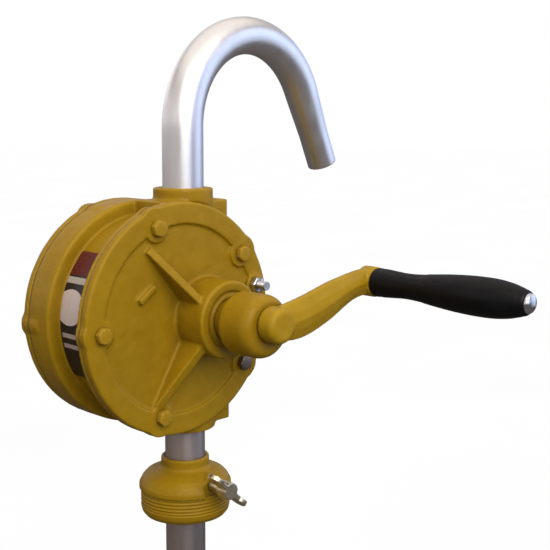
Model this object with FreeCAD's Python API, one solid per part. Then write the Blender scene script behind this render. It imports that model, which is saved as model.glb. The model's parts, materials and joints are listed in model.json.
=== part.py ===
import FreeCAD, Part
import math
import os

# Hand-cranked rotary vane pump that screws into the bung of a drum.
#
# Millimetres. +Z is up along the suction tube, the crank is on the -Y side and
# the spout points to +X. Heights in this file count from the crank shaft's axis;
# save() then moves every part up by SHAFT_HEIGHT, so that the origin of the
# written parts is the centre of the adapter's bung thread.

Vector = FreeCAD.Vector

# ---------------------------------------------------------------- driving dimensions
SHAFT_HEIGHT = 125.0      # crank shaft's axis above the origin of the written parts
TUBE_R = 13.35            # 3/4 inch pipe, 26.7 mm outside
CASE_X = -20.0            # the round case is centred left of the shaft
RUNNING = 0.06            # radial clearance of a running fit
SEATED = 0.02             # radial gap of a fixed fit
HOLE = 0.3                # radial clearance of a bolt hole
PAST = 1.0                # how far a cutting tool reaches past the face it cuts

# round case, from the crank side (-Y) to the rear
COVER_R = 74.0
BARREL_R = 64.0           # recessed part between the front flange and the drum
DRUM_R = 73.4
DRUM_FILLET = 2.0
FACE_Y = -23.5            # front of the cover's rim
COVER_BACK_Y = -18.0
GASKET_T = 0.8
BODY_FRONT_Y = COVER_BACK_Y + GASKET_T
FLANGE_BACK_Y = -14.2
DRUM_FRONT_Y = 17.3
BODY_BACK_Y = 38.2
REAR_COVER_Y = BODY_BACK_Y + GASKET_T
REAR_FACE_Y = 46.4

# cover bolts and their lugs
FRONT_BOLT_ANGLES = [37.2 + 72.0 * i for i in range(5)]
REAR_BOLT_ANGLES = [38.0 + 72.0 * i for i in range(5)]
BOLT_CIRCLE_R = 62.5
BOLT_R = 3.0
BOLT_HEAD_FLATS = 10.0
BOLT_HEAD_CORNER = BOLT_HEAD_FLATS / 2 / math.cos(math.radians(30.0))
BOLT_HEAD_H = 4.2
FRONT_SHANK = 12.0
REAR_SHANK = 18.0
FRONT_LUG_R = 11.4
REAR_LUG_R = 10.4
LUG_CIRCLE_R = 64.0
TAPPED_LUG_R = 7.5        # stub behind the front flange that each cover bolt is screwed into
TAPPED_LUG_END_Y = -9.0
THREAD_SPARE = 2.0        # tapped hole that is left past each bolt's end

# pads and sockets of the inlet below and the outlet above
UPPER_PAD_X, UPPER_PAD_Z = 25.5, 73.5
LOWER_PAD_X, LOWER_PAD_Z = 27.0, 75.0
PAD_ROOT_Z = 40.0
UPPER_SOCKET_R, SOCKET_TOP_Z = 19.3, 81.4
LOWER_SOCKET_R, SOCKET_BOTTOM_Z = 20.3, -78.0
SOCKET_ROOT_Z = 50.0
PORT_R, PORT_ROOT_Z = 10.5, 35.0
TUBE_SEAT_Z = -57.0
SPOUT_SEAT_Z = 57.5
SEAL_GROOVE_R = 16.0
SEAL_LOW_Z, SEAL_HIGH_Z = 64.0, 67.2
GRUB_R, GRUB_Z = 2.5, 75.0

# pumping chamber and rotor
SHAFT_R = 8.0
CHAMBER_R, CHAMBER_X = 46.0, -8.0
ROTOR_R = 37.93
END_GAP = 0.1             # rotor to each end wall
VANE_ANGLES = [45.0, 135.0, 225.0, 315.0]
VANE_T = 6.0
VANE_LENGTH = 24.0
SLOT_BOTTOM_R = 11.5
KEY_HALF, KEY_FRONT_Y, KEY_BACK_Y = 2.5, -8.0, 32.0
KEY_LOW_Z, KEY_HIGH_Z = 5.5, 10.5
KEY_GAP = 0.02

# shaft boss on the cover, bushes and packing gland
BOSS_R, BOSS_FRONT_Y = 25.0, -45.8
REAR_BOSS_R, REAR_BOSS_Y = 19.0, 58.0
BUSH_R = 12.0
FRONT_BUSH_Y = -29.0
REAR_BUSH_Y = 54.0
NECK_R = 14.0             # packing bore of the boss and the gland's neck in it
GLAND_R, GLAND_FRONT_Y = 19.8, -79.4
GLAND_SEAT_Y = -37.2
GLAND_HEAD_Y = -54.6
GLAND_DOME_Y = -72.5
GLAND_LIP_R = 14.6

# bonding screw on the cover
EARTH_X, EARTH_Z = 41.0, 16.0
EARTH_R = 3.0
EARTH_SEAT_Y = FACE_Y - 1.5

# crank arm and grip
CRANK_BACK_Y = -80.0
CRANK_THROW_X, CRANK_THROW_Z = 88.0, 20.0
HUB_R, HUB_Z, HUB_FRONT_Y = 11.2, 2.4, -92.4
SHAFT_END_R, SHAFT_END_Y = 6.0, -90.0
PIN_R, PIN_Y = 2.0, -85.5
EYE_R, EYE_FRONT_Y, EYE_BACK_Y = 9.9, -91.4, -80.8
SPINDLE_R, SPINDLE_END_Y = 4.0, -205.0

# spout
SPOUT_YAW = 3.5
SPOUT_BEND_Z, SPOUT_BEND_R, SPOUT_BEND_DEG = 119.0, 62.6, 154.0
SPOUT_BEND_END_R = 12.1
SPOUT_TAPER = 34.0        # straight length after the bend that still tapers
SPOUT_TIP, SPOUT_TIP_R = 25.0, 10.7
SPOUT_WALL = 2.2
SPOUT_LOW_Z = 58.0
SPOUT_GROOVE_R, SPOUT_GROOVE_HALF = 12.5, 2.7

# suction tube
UPPER_TUBE_BOTTOM_Z, UPPER_TUBE_WALL = -400.0, 2.0
LOWER_TUBE_R, LOWER_TUBE_WALL = 9.8, 1.6
LOWER_TUBE_TOP_Z, LOWER_TUBE_BOTTOM_Z = -92.0, -424.0
GUIDE_LENGTH, SLEEVE_LENGTH = 20.0, 12.0
STRAINER_TOP_Z, STRAINER_BOTTOM_Z = -402.0, -434.0

# bung adapter and its clamp screw
BUNG_THREAD_R = 29.9      # 2 inch drum bung thread
ADAPTER_TOP_Z, ADAPTER_BOTTOM_Z = -98.0, -137.2
THREAD_TOP_Z, THREAD_BOTTOM_Z = -120.0, -131.5
ADAPTER_SEAL_R, ADAPTER_SEAL_LOW_Z, ADAPTER_SEAL_HIGH_Z = 17.0, -129.0, -125.0
SCREW_ANGLE, SCREW_Z, SCREW_R = -89.0, -112.8, 4.0
SCREW_BOSS_R, SCREW_FACE = 6.6, 27.0
PAD_END = 16.4
WING_TILT = 47.0          # how far the wings are turned round the screw's axis


# ---------------------------------------------------------------- helpers
def cyl_y(radius, y0, y1, x=0.0, z=0.0):
    return Part.makeCylinder(radius, y1 - y0, Vector(x, y0, z), Vector(0, 1, 0))


def cyl_z(radius, z0, z1):
    return Part.makeCylinder(radius, z1 - z0, Vector(0, 0, z0), Vector(0, 0, 1))


def ring_y(r_out, r_in, y0, y1, x=0.0, z=0.0):
    return cyl_y(r_out, y0, y1, x, z).cut(cyl_y(r_in, y0 - PAST, y1 + PAST, x, z))


def ring_z(r_out, r_in, z0, z1):
    return cyl_z(r_out, z0, z1).cut(cyl_z(r_in, z0 - PAST, z1 + PAST))


def box(x0, x1, y0, y1, z0, z1):
    return Part.makeBox(x1 - x0, y1 - y0, z1 - z0, Vector(x0, y0, z0))


def turned(points, axis):
    """Solid of revolution of an outline of (radius, height) points about Y or Z."""
    if axis == "Z":
        outline = [Vector(r, 0, h) for r, h in points]
        direction = Vector(0, 0, 1)
    else:
        outline = [Vector(r, h, 0) for r, h in points]
        direction = Vector(0, 1, 0)
    face = Part.Face(Part.makePolygon(outline + [outline[0]]))
    return face.revolve(Vector(0, 0, 0), direction, 360)


def around_case(angle, radius):
    """Point of the case's front view at an angle from +X about the case centre."""
    a = math.radians(angle)
    return CASE_X + radius * math.cos(a), radius * math.sin(a)


def fused(shapes):
    return shapes[0].multiFuse(shapes[1:]).removeSplitter()


def circle_edges(shape, radius, y):
    """Edges of a shape that are circles of one radius in the plane at y."""
    found = []
    for edge in shape.Edges:
        curve = edge.Curve
        if isinstance(curve, Part.Circle) and abs(curve.Radius - radius) < 0.01:
            if abs(curve.Center.y - y) < 0.01:
                found.append(edge)
    return found


def rounded_disc(radius, y0, y1, fillet, edge_y, x=0.0, z=0.0):
    """Cylinder along Y with the edge at edge_y rounded."""
    disc = cyl_y(radius, y0, y1, x, z)
    return disc.makeFillet(fillet, circle_edges(disc, radius, edge_y))


def to_front_view(shape, angle):
    """Turn a shape drawn along +X to an angle of the front view (from +X towards +Z)."""
    copy = shape.copy()
    copy.rotate(Vector(0, 0, 0), Vector(0, 1, 0), -angle)
    return copy


def save(name, shape):
    if not shape.isValid():
        raise ValueError(name + " is not a valid shape")
    placed = shape.copy()
    placed.translate(Vector(0, 0, SHAFT_HEIGHT))
    placed.exportStep("parts/" + name + ".step")


# ---------------------------------------------------------------- case
def discs(angles, circle_r, radius, y0, y1):
    """Equal cylinders along Y on a circle round the case."""
    out = []
    for angle in angles:
        x, z = around_case(angle, circle_r)
        out.append(cyl_y(radius, y0, y1, x, z))
    return out


def front_lugs(y0, y1):
    return discs(FRONT_BOLT_ANGLES, LUG_CIRCLE_R, FRONT_LUG_R, y0, y1)


def rear_lugs(y0, y1):
    return discs(REAR_BOLT_ANGLES, LUG_CIRCLE_R, REAR_LUG_R, y0, y1)


def bolt_holes(angles, radius, y0, y1):
    return fused(discs(angles, BOLT_CIRCLE_R, radius, y0, y1))


def pump_body():
    rear_lug_depth = 10.0
    front_tap_y = FACE_Y + FRONT_SHANK + THREAD_SPARE / 2
    rear_tap_y = REAR_FACE_Y - REAR_SHANK - THREAD_SPARE
    pad_y0, pad_y1 = FLANGE_BACK_Y - PAST, DRUM_FRONT_Y + PAST
    parts = [
        cyl_y(BARREL_R, BODY_FRONT_Y, BODY_BACK_Y, CASE_X),
        cyl_y(COVER_R, BODY_FRONT_Y, FLANGE_BACK_Y, CASE_X),
        rounded_disc(DRUM_R, DRUM_FRONT_Y, BODY_BACK_Y, DRUM_FILLET, DRUM_FRONT_Y, CASE_X),
        box(-UPPER_PAD_X, UPPER_PAD_X, pad_y0, pad_y1, PAD_ROOT_Z, UPPER_PAD_Z),
        box(-LOWER_PAD_X, LOWER_PAD_X, pad_y0, pad_y1, -LOWER_PAD_Z, -PAD_ROOT_Z),
        cyl_z(UPPER_SOCKET_R, SOCKET_ROOT_Z, SOCKET_TOP_Z),
        cyl_z(LOWER_SOCKET_R, SOCKET_BOTTOM_Z, -SOCKET_ROOT_Z),
    ]
    parts += front_lugs(BODY_FRONT_Y, FLANGE_BACK_Y)
    parts += rear_lugs(BODY_BACK_Y - rear_lug_depth, BODY_BACK_Y)
    parts += discs(FRONT_BOLT_ANGLES, BOLT_CIRCLE_R - 2, TAPPED_LUG_R, BODY_FRONT_Y, TAPPED_LUG_END_Y)
    body = fused(parts)
    front, back = BODY_FRONT_Y - PAST, BODY_BACK_Y + PAST
    cover_room = cyl_y(COVER_R + HOLE, BODY_FRONT_Y - 6.0, BODY_FRONT_Y, CASE_X)
    cuts = [
        cyl_y(CHAMBER_R, front, back, CHAMBER_X),
        cyl_z(PORT_R, PORT_ROOT_Z, SOCKET_TOP_Z),
        cyl_z(TUBE_R + RUNNING, SPOUT_SEAT_Z, SOCKET_TOP_Z + PAST),
        cyl_z(SEAL_GROOVE_R, SEAL_LOW_Z, SEAL_HIGH_Z),
        cyl_z(PORT_R, SOCKET_BOTTOM_Z, -PORT_ROOT_Z),
        cyl_z(TUBE_R + SEATED, SOCKET_BOTTOM_Z - PAST, TUBE_SEAT_Z),
        cyl_y(GRUB_R, TUBE_R - 3.0, UPPER_SOCKET_R + 2.0, 0, GRUB_Z),
        bolt_holes(FRONT_BOLT_ANGLES, BOLT_R + SEATED, front, front_tap_y),
        bolt_holes(REAR_BOLT_ANGLES, BOLT_R + SEATED, rear_tap_y, back),
        cyl_y(EARTH_R + SEATED, front, FLANGE_BACK_Y + 6.0, EARTH_X, EARTH_Z),
        cover_room,
    ]
    for cut in cuts:
        body = body.cut(cut)
    return body


def rib(angle, length, thickness):
    """Triangular gusset on the cover, highest at the shaft boss."""
    start, crest_length, crest_y = 12.0, 5.0, -41.5
    root_y = COVER_BACK_Y - 2.0
    half = thickness / 2
    outline = [
        Vector(start, root_y, -half),
        Vector(length, root_y, -half),
        Vector(length, FACE_Y - 0.3, -half),
        Vector(start + crest_length, crest_y, -half),
        Vector(start, crest_y, -half),
    ]
    face = Part.Face(Part.makePolygon(outline + [outline[0]]))
    solid = to_front_view(face.extrude(Vector(0, 0, thickness)), angle)
    solid.translate(Vector(-9.0, 0, 0))
    return solid


def cover_bar(recess_y):
    """Short raised bar cast on the cover's upper left."""
    half_length, half_width, slope = 7.5, 1.8, 36.0
    bar = box(-half_length, half_length, FACE_Y - 0.6, recess_y + PAST, -half_width, half_width)
    bar = to_front_view(bar, slope)
    bar.translate(Vector(-48.0, 0, 19.0))
    return bar


def front_cover():
    recess_y = FACE_Y + 2.2
    recess_r, bolt_island_r, earth_boss_r = 60.5, 9.0, 7.0
    rim_fillet, boss_fillet = 1.6, 1.8
    recess = cyl_y(recess_r, FACE_Y - PAST, recess_y, CASE_X)
    recess = recess.cut(bolt_holes(FRONT_BOLT_ANGLES, bolt_island_r, FACE_Y - 2 * PAST, recess_y + PAST))
    plate = rounded_disc(COVER_R, FACE_Y, COVER_BACK_Y, rim_fillet, FACE_Y, CASE_X)
    plate = fused([plate] + front_lugs(FACE_Y, COVER_BACK_Y)).cut(recess)
    boss = rounded_disc(BOSS_R, BOSS_FRONT_Y, COVER_BACK_Y, boss_fillet, BOSS_FRONT_Y)
    earth_boss = cyl_y(earth_boss_r, EARTH_SEAT_Y, COVER_BACK_Y, EARTH_X, EARTH_Z)
    ribs = [rib(129.4, 60.0, 5.0), rib(239.1, 62.0, 6.5), rib(6.0, 55.0, 5.0)]
    cover = fused([plate, boss, cover_bar(recess_y), earth_boss] + ribs)
    behind = COVER_BACK_Y + PAST
    cuts = [
        cyl_y(BUSH_R + SEATED, FRONT_BUSH_Y, behind),
        cyl_y(NECK_R + SEATED, BOSS_FRONT_Y - PAST, FRONT_BUSH_Y),
        ring_y(NECK_R + 5.0, NECK_R + 2.0, BOSS_FRONT_Y - PAST, BOSS_FRONT_Y + 1.2),
        bolt_holes(FRONT_BOLT_ANGLES, BOLT_R + HOLE, BOSS_FRONT_Y, behind),
        bolt_holes(FRONT_BOLT_ANGLES, BOLT_HEAD_CORNER + 0.4, BOSS_FRONT_Y, FACE_Y),
        cyl_y(EARTH_R + SEATED, EARTH_SEAT_Y - PAST, behind, EARTH_X, EARTH_Z),
    ]
    for cut in cuts:
        cover = cover.cut(cut)
    return cover


def rear_cover():
    rim_fillet, boss_fillet = 4.5, 3.0
    front = REAR_COVER_Y - PAST
    plate = rounded_disc(DRUM_R, REAR_COVER_Y, REAR_FACE_Y, rim_fillet, REAR_FACE_Y, CASE_X)
    plate = fused([plate] + rear_lugs(REAR_COVER_Y, REAR_FACE_Y))
    boss = rounded_disc(REAR_BOSS_R, REAR_FACE_Y - 2.0, REAR_BOSS_Y, boss_fillet, REAR_BOSS_Y)
    cover = fused([plate, boss])
    cover = cover.cut(cyl_y(BUSH_R + SEATED, front, REAR_BUSH_Y))
    return cover.cut(bolt_holes(REAR_BOLT_ANGLES, BOLT_R + HOLE, front, REAR_FACE_Y + PAST))


def gasket(disc, lug_discs, angles, y0, y1):
    outline = fused([disc] + lug_discs)
    outline = outline.cut(cyl_y(CHAMBER_R + 0.5, y0 - PAST, y1 + PAST, CHAMBER_X))
    return outline.cut(bolt_holes(angles, BOLT_R + HOLE, y0 - PAST, y1 + PAST))


def front_gasket():
    y0, y1 = COVER_BACK_Y, BODY_FRONT_Y
    disc = cyl_y(COVER_R - 0.4, y0, y1, CASE_X)
    sheet = gasket(disc, front_lugs(y0, y1), FRONT_BOLT_ANGLES, y0, y1)
    return sheet.cut(cyl_y(EARTH_R + 0.5, y0 - PAST, y1 + PAST, EARTH_X, EARTH_Z))


def rear_gasket():
    y0, y1 = BODY_BACK_Y, REAR_COVER_Y
    disc = cyl_y(DRUM_R - 0.4, y0, y1, CASE_X)
    return gasket(disc, rear_lugs(y0, y1), REAR_BOLT_ANGLES, y0, y1)


def hex_bolt(seat_y, shank_length, head_up):
    """Hex bolt along Y; head_up is -1 when its head faces -Y."""
    points = []
    for i in range(7):
        a = math.radians(60.0 * i + 30.0)
        points.append(Vector(BOLT_HEAD_CORNER * math.cos(a), seat_y, BOLT_HEAD_CORNER * math.sin(a)))
    head = Part.Face(Part.makePolygon(points)).extrude(Vector(0, BOLT_HEAD_H * head_up, 0))
    if head_up < 0:
        shank = cyl_y(BOLT_R, seat_y, seat_y + shank_length)
    else:
        shank = cyl_y(BOLT_R, seat_y - shank_length, seat_y)
    return fused([head, shank])


def bolt_group(angles, seat_y, shank_length, head_up):
    group = []
    for angle in angles:
        bolt = hex_bolt(seat_y, shank_length, head_up)
        x, z = around_case(angle, BOLT_CIRCLE_R)
        bolt.translate(Vector(x, 0, z))
        group.append(bolt)
    return Part.makeCompound(group)


def earthing_screw():
    """Stud with its nut; the plain end in front takes a bonding lead's ring terminal."""
    nut_r, nut_h, free_length = 5.2, 4.5, 7.0
    stud = cyl_y(EARTH_R, EARTH_SEAT_Y - nut_h - free_length, FLANGE_BACK_Y + 5.0, EARTH_X, EARTH_Z)
    nut = cyl_y(nut_r, EARTH_SEAT_Y - nut_h, EARTH_SEAT_Y, EARTH_X, EARTH_Z)
    return fused([stud, nut])


def label_sticker():
    """Thin sticker wrapped round the left of the recessed barrel."""
    low_angle, high_angle = 137.0, 210.5
    front_y, back_y = TAPPED_LUG_END_Y + 2.5, DRUM_FRONT_Y - 0.5
    reach = 2 * BARREL_R
    skin = ring_y(BARREL_R + 0.35, BARREL_R + SEATED, front_y, back_y, CASE_X)
    corners = [Vector(CASE_X, front_y - PAST, 0)]
    for angle in (low_angle, high_angle):
        x, z = around_case(angle, reach)
        corners.append(Vector(x, front_y - PAST, z))
    wedge = Part.Face(Part.makePolygon(corners + [corners[0]]))
    return skin.common(wedge.extrude(Vector(0, back_y - front_y + 2 * PAST, 0)))


# ---------------------------------------------------------------- shaft, rotor and seals
def front_bush():
    return ring_y(BUSH_R, SHAFT_R + RUNNING, FRONT_BUSH_Y + 0.1, COVER_BACK_Y - END_GAP)


def rear_bush():
    return ring_y(BUSH_R, SHAFT_R + RUNNING, REAR_COVER_Y + 0.2, REAR_BUSH_Y - 1.0)


def packing_rings():
    first_y, pitch, width = -31.6, 2.7, 2.5
    rings = []
    for i in range(3):
        y = first_y - pitch * i
        rings.append(ring_y(NECK_R - 0.1, SHAFT_R + RUNNING, y, y + width))
    return Part.makeCompound(rings)


def gland_nut():
    """Round packing nut: a threaded neck inside the boss and a rounded head."""
    bore = SHAFT_R + RUNNING
    chamfer = 0.8
    outline = [(bore, GLAND_SEAT_Y), (NECK_R, GLAND_SEAT_Y), (NECK_R, GLAND_HEAD_Y)]
    outline += [(GLAND_R - chamfer, GLAND_HEAD_Y), (GLAND_R, GLAND_HEAD_Y - chamfer)]
    outline.append((GLAND_R, GLAND_DOME_Y))
    dome_r, dome_h = GLAND_R - GLAND_LIP_R, GLAND_FRONT_Y - GLAND_DOME_Y
    for step in range(15, 91, 15):
        a = math.radians(step)
        outline.append((GLAND_LIP_R + dome_r * math.cos(a), GLAND_DOME_Y + dome_h * math.sin(a)))
    outline.append((bore, GLAND_FRONT_Y))
    return turned(outline, "Y")


def rotor_shaft():
    """Shaft with a keyway for the rotor and a thinner end that the crank is pinned on."""
    shaft = fused([cyl_y(SHAFT_R, CRANK_BACK_Y, REAR_BUSH_Y - 1.5),
                   cyl_y(SHAFT_END_R, SHAFT_END_Y, CRANK_BACK_Y + PAST)])
    keyway = box(-KEY_HALF, KEY_HALF, KEY_FRONT_Y, KEY_BACK_Y, KEY_LOW_Z, SHAFT_R + PAST)
    cross_hole = Part.makeCylinder(PIN_R, 2 * SHAFT_R, Vector(0, PIN_Y, -SHAFT_R), Vector(0, 0, 1))
    return shaft.cut(keyway).cut(cross_hole)


def rotor_key():
    half = KEY_HALF - KEY_GAP
    y0, y1 = KEY_FRONT_Y + 0.1, KEY_BACK_Y - 0.1
    return box(-half, half, y0, y1, KEY_LOW_Z + KEY_GAP, KEY_HIGH_Z)


def rotor():
    y0 = COVER_BACK_Y + END_GAP
    y1 = REAR_COVER_Y - END_GAP
    key_half = KEY_HALF + KEY_GAP
    drum = ring_y(ROTOR_R, SHAFT_R + SEATED, y0, y1)
    drum = drum.cut(box(-key_half, key_half, KEY_FRONT_Y - 0.1, y1 + PAST, 0, KEY_HIGH_Z + 0.05))
    slot_half = VANE_T / 2 + 0.05
    slot = box(SLOT_BOTTOM_R, ROTOR_R + 5.0, y0 - PAST, y1 + PAST, -slot_half, slot_half)
    for angle in VANE_ANGLES:
        drum = drum.cut(to_front_view(slot, angle))
    return drum


def vane(angle):
    y0 = COVER_BACK_Y + 2 * END_GAP
    y1 = REAR_COVER_Y - 2 * END_GAP
    tip = ROTOR_R - 0.15
    tip_fillet = 1.5
    blade = box(tip - VANE_LENGTH, tip, y0, y1, -VANE_T / 2, VANE_T / 2)
    tip_edges = []
    for edge in blade.Edges:
        reach = edge.BoundBox
        if abs(reach.XMin - tip) < 0.01 and reach.YLength > VANE_T:
            tip_edges.append(edge)
    return to_front_view(blade.makeFillet(tip_fillet, tip_edges), angle)


# ---------------------------------------------------------------- crank and grip
def arm_centre_z(x):
    """Height of the S-shaped arm's centre line above the shaft."""
    start_x, start_z, run, rise = 5.0, 3.5, 75.0, 17.0
    t = min(max((x - start_x) / run, 0.0), 1.0)
    return start_z + rise * t * t * (3.0 - 2.0 * t)


def arm_section(x, half_height, y_front, y_back):
    """Eight-sided section of the arm, square to its centre line, with a front ridge."""
    half_flat, ridge_width, ridge_y = 2.0, 0.45, y_front + 1.2
    slope = arm_centre_z(x + 0.5) - arm_centre_z(x - 0.5)
    length = math.hypot(1.0, slope)
    nx, nz = -slope / length, 1.0 / length
    middle = (y_front + y_back) / 2
    outline = [
        (1.0, middle + half_flat), (1.0, middle - half_flat), (ridge_width, ridge_y), (0.0, y_front),
        (-ridge_width, ridge_y), (-1.0, middle - half_flat), (-1.0, middle + half_flat), (0.0, y_back),
    ]
    z = arm_centre_z(x)
    points = []
    for share, y in outline:
        points.append(Vector(x + nx * share * half_height, y, z + nz * share * half_height))
    return Part.makePolygon(points + [points[0]])


def crank_arm():
    # distance from the shaft, half height, front and back of each section of the arm
    stations = [
        (2.0, 10.2, -91.2, -80.4), (16.0, 12.2, -92.6, -81.0), (32.0, 12.0, -93.0, -81.4),
        (47.0, 11.0, -92.8, -81.6), (60.0, 9.3, -92.2, -81.4), (72.0, 8.5, -91.6, -81.2),
        (84.0, 8.5, -91.2, -81.2),
    ]
    hub_fillet = 4.0
    web = Part.makeLoft([arm_section(*s) for s in stations], True, False)
    hub = rounded_disc(HUB_R, HUB_FRONT_Y, CRANK_BACK_Y, hub_fillet, HUB_FRONT_Y, 0, HUB_Z)
    eye = cyl_y(EYE_R, EYE_FRONT_Y, EYE_BACK_Y, CRANK_THROW_X, CRANK_THROW_Z)
    arm = fused([hub, web, eye])
    arm = arm.cut(cyl_y(SHAFT_END_R + SEATED, SHAFT_END_Y, CRANK_BACK_Y + PAST))
    arm = arm.cut(cyl_y(SPINDLE_R, EYE_FRONT_Y - PAST, EYE_BACK_Y + PAST, CRANK_THROW_X, CRANK_THROW_Z))
    pin_hole = Part.makeCylinder(PIN_R + SEATED, 4 * HUB_R, Vector(0, PIN_Y, -2 * HUB_R), Vector(0, 0, 1))
    return arm.cut(pin_hole)


def crank_pin():
    """Cross pin through the hub and the shaft's end, just below the hub's surface."""
    half = HUB_R - 0.8
    return Part.makeCylinder(PIN_R - SEATED, 2 * half, Vector(0, PIN_Y, HUB_Z - half), Vector(0, 0, 1))


def grip_spindle():
    """Riveted spindle of the grip, with a domed head at its free end."""
    rivet_r, rivet_end_y = 5.6, EYE_BACK_Y + 1.4
    dome = [(0, -203.4), (6.2, -203.4), (6.0, -204.6), (4.8, -205.8), (2.6, -206.5), (0, -206.7)]
    place = (CRANK_THROW_X, CRANK_THROW_Z)
    bar = cyl_y(SPINDLE_R, SPINDLE_END_Y, EYE_FRONT_Y, *place)
    shank = cyl_y(SPINDLE_R - SEATED, EYE_FRONT_Y, EYE_BACK_Y + 0.5, *place)
    rivet = cyl_y(rivet_r, EYE_BACK_Y, rivet_end_y, *place)
    head = turned(dome, "Y")
    head.translate(Vector(CRANK_THROW_X, 0, CRANK_THROW_Z))
    return fused([bar, shank, rivet, head])


def grip_outline():
    """Spline of the grip's radius along Y, from the arm to the free end."""
    stations = [
        (-93.0, 9.5), (-99.0, 9.2), (-107.0, 8.6), (-120.0, 8.3), (-134.0, 9.4), (-148.0, 10.9),
        (-162.0, 11.9), (-174.0, 12.2), (-184.0, 11.5), (-192.0, 10.0), (-198.5, 8.1), (-202.5, 6.7),
    ]
    curve = Part.BSplineCurve()
    curve.interpolate([Vector(r, y, 0) for y, r in stations])
    return curve.toShape()


def crank_grip():
    collar_r, end_r, end_y = 8.4, 5.6, -203.3
    collar_y = EYE_FRONT_Y - 0.2
    bore = SPINDLE_R + RUNNING
    side = grip_outline()
    start = side.Vertexes[0].Point
    end = side.Vertexes[-1].Point
    corners = [end, Vector(end_r, end_y, 0), Vector(bore, end_y, 0), Vector(bore, collar_y, 0),
               Vector(collar_r, collar_y, 0), start]
    wire = Part.Wire([side, Part.makePolygon(corners)])
    solid = Part.Face(wire).revolve(Vector(0, 0, 0), Vector(0, 1, 0), 360)
    solid.translate(Vector(CRANK_THROW_X, 0, CRANK_THROW_Z))
    return solid


# ---------------------------------------------------------------- spout
def on_bend(angle):
    """Point of the spout's centre line at an angle along its bend."""
    x = SPOUT_BEND_R * (1 - math.cos(angle))
    return Vector(x, 0, SPOUT_BEND_Z + SPOUT_BEND_R * math.sin(angle))


def spout_bar(wall, low_z, past_tip):
    """Solid bar along the spout, one wall thinner than its outside."""
    bend = math.radians(SPOUT_BEND_DEG)
    start, stop = on_bend(0.0), on_bend(bend)
    direction = Vector(math.sin(bend), 0, math.cos(bend))
    arc = Part.Arc(start, on_bend(bend / 2), stop).toShape()
    shell = Part.BRepOffsetAPI.MakePipeShell(Part.Wire([arc]))
    shell.add(Part.Wire([Part.makeCircle(TUBE_R - wall, start, Vector(0, 0, 1))]))
    shell.add(Part.Wire([Part.makeCircle(SPOUT_BEND_END_R - wall, stop, direction)]))
    shell.build()
    shell.makeSolid()
    leg = cyl_z(TUBE_R - wall, low_z, SPOUT_BEND_Z)
    taper = Part.makeCone(SPOUT_BEND_END_R - wall, SPOUT_TIP_R - wall, SPOUT_TAPER, stop, direction)
    tip_start = stop + direction * SPOUT_TAPER
    tip = Part.makeCylinder(SPOUT_TIP_R - wall, SPOUT_TIP + past_tip, tip_start, direction)
    return fused([leg, shell.shape(), taper, tip])


def spout():
    tube = spout_bar(0.0, SPOUT_LOW_Z, 0.0).cut(spout_bar(SPOUT_WALL, SPOUT_LOW_Z - PAST, PAST))
    groove_low, groove_high = GRUB_Z - SPOUT_GROOVE_HALF, GRUB_Z + SPOUT_GROOVE_HALF
    tube = tube.cut(ring_z(TUBE_R + PAST, SPOUT_GROOVE_R, groove_low, groove_high))
    tube.rotate(Vector(0, 0, 0), Vector(0, 0, 1), SPOUT_YAW)
    return tube


def spout_seal():
    return ring_z(SEAL_GROOVE_R - 0.05, TUBE_R + 0.03, SEAL_LOW_Z + 0.1, SEAL_HIGH_Z - 0.1)


def spout_retaining_screw():
    """Grub screw at the back of the socket; its tip runs in the spout's groove."""
    tip_y, shoulder_y = SPOUT_GROOVE_R + 0.2, TUBE_R + 0.25
    thread = cyl_y(GRUB_R - SEATED, shoulder_y, UPPER_SOCKET_R + 1.2, 0, GRUB_Z)
    return fused([thread, cyl_y(GRUB_R - 0.3, tip_y, shoulder_y, 0, GRUB_Z)])


# ---------------------------------------------------------------- suction tube
def suction_tube_upper():
    return ring_z(TUBE_R, TUBE_R - UPPER_TUBE_WALL, UPPER_TUBE_BOTTOM_Z, TUBE_SEAT_Z - 0.2)


def tube_guide_bush():
    outer = TUBE_R - UPPER_TUBE_WALL - SEATED
    top_z = UPPER_TUBE_BOTTOM_Z + GUIDE_LENGTH
    return ring_z(outer, LOWER_TUBE_R + RUNNING, UPPER_TUBE_BOTTOM_Z, top_z)


def suction_tube_lower():
    return ring_z(LOWER_TUBE_R, LOWER_TUBE_R - LOWER_TUBE_WALL, LOWER_TUBE_BOTTOM_Z, LOWER_TUBE_TOP_Z)


def tube_piston_sleeve():
    outer = TUBE_R - UPPER_TUBE_WALL - RUNNING
    return ring_z(outer, LOWER_TUBE_R + SEATED, LOWER_TUBE_TOP_Z - SLEEVE_LENGTH, LOWER_TUBE_TOP_Z)


def foot_strainer():
    """Cup on the lower end of the tube, with slots that let the liquid in."""
    wall, floor, slot_half, slot_depth = 2.0, 3.0, 1.6, 7.0
    cup = cyl_z(TUBE_R, STRAINER_BOTTOM_Z, STRAINER_TOP_Z)
    cup = cup.cut(cyl_z(TUBE_R - wall, STRAINER_BOTTOM_Z + floor, LOWER_TUBE_BOTTOM_Z))
    cup = cup.cut(cyl_z(LOWER_TUBE_R + SEATED, LOWER_TUBE_BOTTOM_Z - PAST, STRAINER_TOP_Z + PAST))
    reach = TUBE_R + 5.0
    slot_low, slot_high = STRAINER_BOTTOM_Z - PAST, STRAINER_BOTTOM_Z + slot_depth
    for turn in (0.0, 45.0, 90.0, 135.0):
        slot = box(-reach, reach, -slot_half, slot_half, slot_low, slot_high)
        slot.rotate(Vector(0, 0, 0), Vector(0, 0, 1), turn)
        cup = cup.cut(slot)
    return cup


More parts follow.
